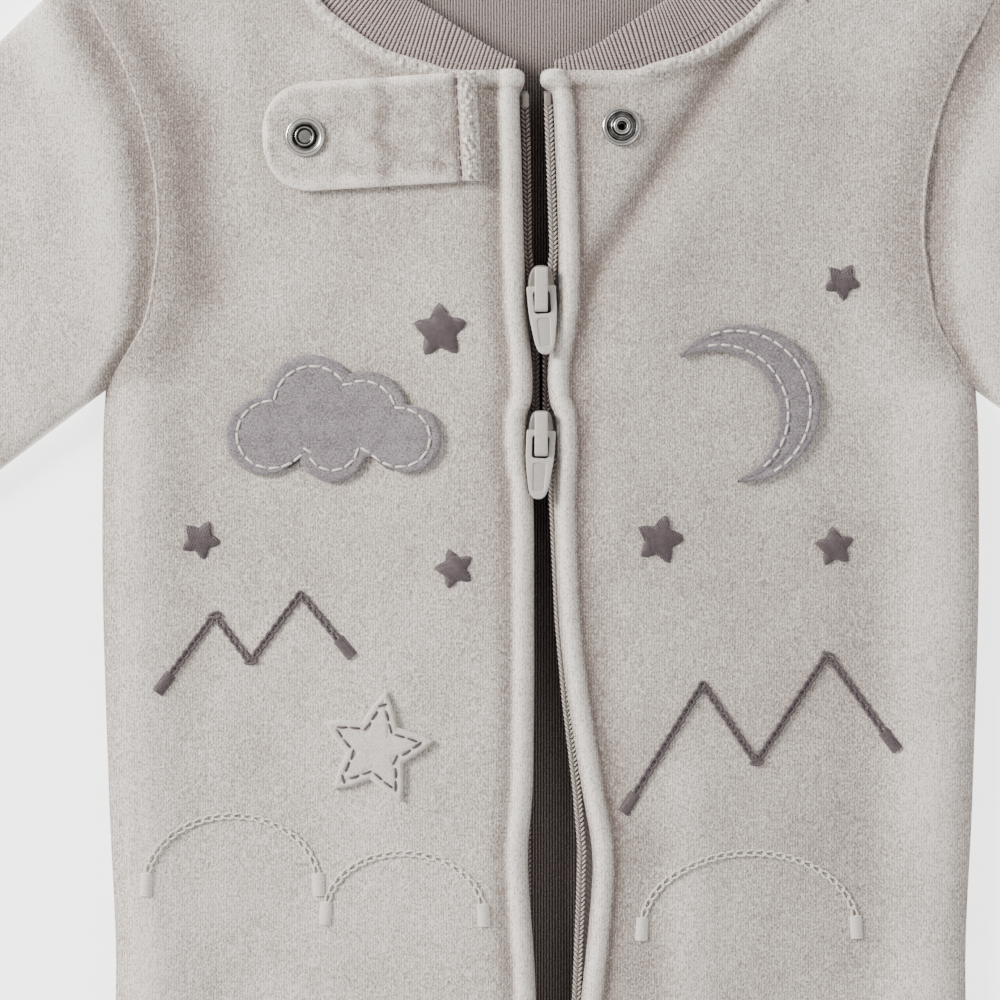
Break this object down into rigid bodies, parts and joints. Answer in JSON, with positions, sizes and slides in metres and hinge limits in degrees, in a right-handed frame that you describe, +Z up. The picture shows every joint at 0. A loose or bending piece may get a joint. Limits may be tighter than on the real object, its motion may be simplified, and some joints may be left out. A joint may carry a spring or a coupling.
{
  "type": "baby's zip sleepsuit, laid flat",
  "caption": "Baby's velour sleepsuit laid flat: two-way zip, rib collar, chin tab with a snap, long sleeves and legs, felt patches.",
  "frame": {"origin": "on the surface it lies on, under the middle of the whole garment's box", "axes": "+X to the right across the chest as seen from above, +Y towards the neck, +Z up from the surface"},
  "size_m": [0.604, 0.594, 0.0155],
  "materials": {
    "velour": "short greige velour pile",
    "velour_inside": "knitted wrong side with fine vertical wales",
    "rib": "one by one rib knit",
    "zip_tape": "woven tape with nylon coil",
    "plastic": "satin coating",
    "steel": "polished snap fastener",
    "grey_felt": "felted applique",
    "cream_felt": "felted applique",
    "dark_thread": "satin embroidery thread",
    "cream_thread": "matt embroidery thread"
  },
  "bodies": {
    "garment": {"back": "velour_inside", "front_left": "velour", "front_right": "velour", "sleeve_left": "velour", "sleeve_right": "velour", "collar": "rib", "zip_tape_left": "zip_tape", "zip_tape_right": "zip_tape", "snap_tab": "velour", "snap_socket": "steel", "snap_stud": "steel", "applique_cloud": "grey_felt", "applique_star": "cream_felt", "applique_moon": "grey_felt", "zip_slider_top": "plastic", "zip_slider_bottom": "plastic"},
    "pull_top": {"zip_pull_top": "plastic"},
    "pull_bottom": {"zip_pull_bottom": "plastic"}
  },
  "joints": [
    {"name": "pull_top_turn", "type": "hinge", "parent": "garment", "child": "pull_top", "pos_m": [0, 0.17661, 0.0123], "axis": [-1, 0, 0], "range_deg": [0, 150]},
    {"name": "pull_bottom_turn", "type": "hinge", "parent": "garment", "child": "pull_bottom", "pos_m": [0, 0.13661, 0.0123], "axis": [-1, 0, 0], "range_deg": [0, 150]}
  ]
}
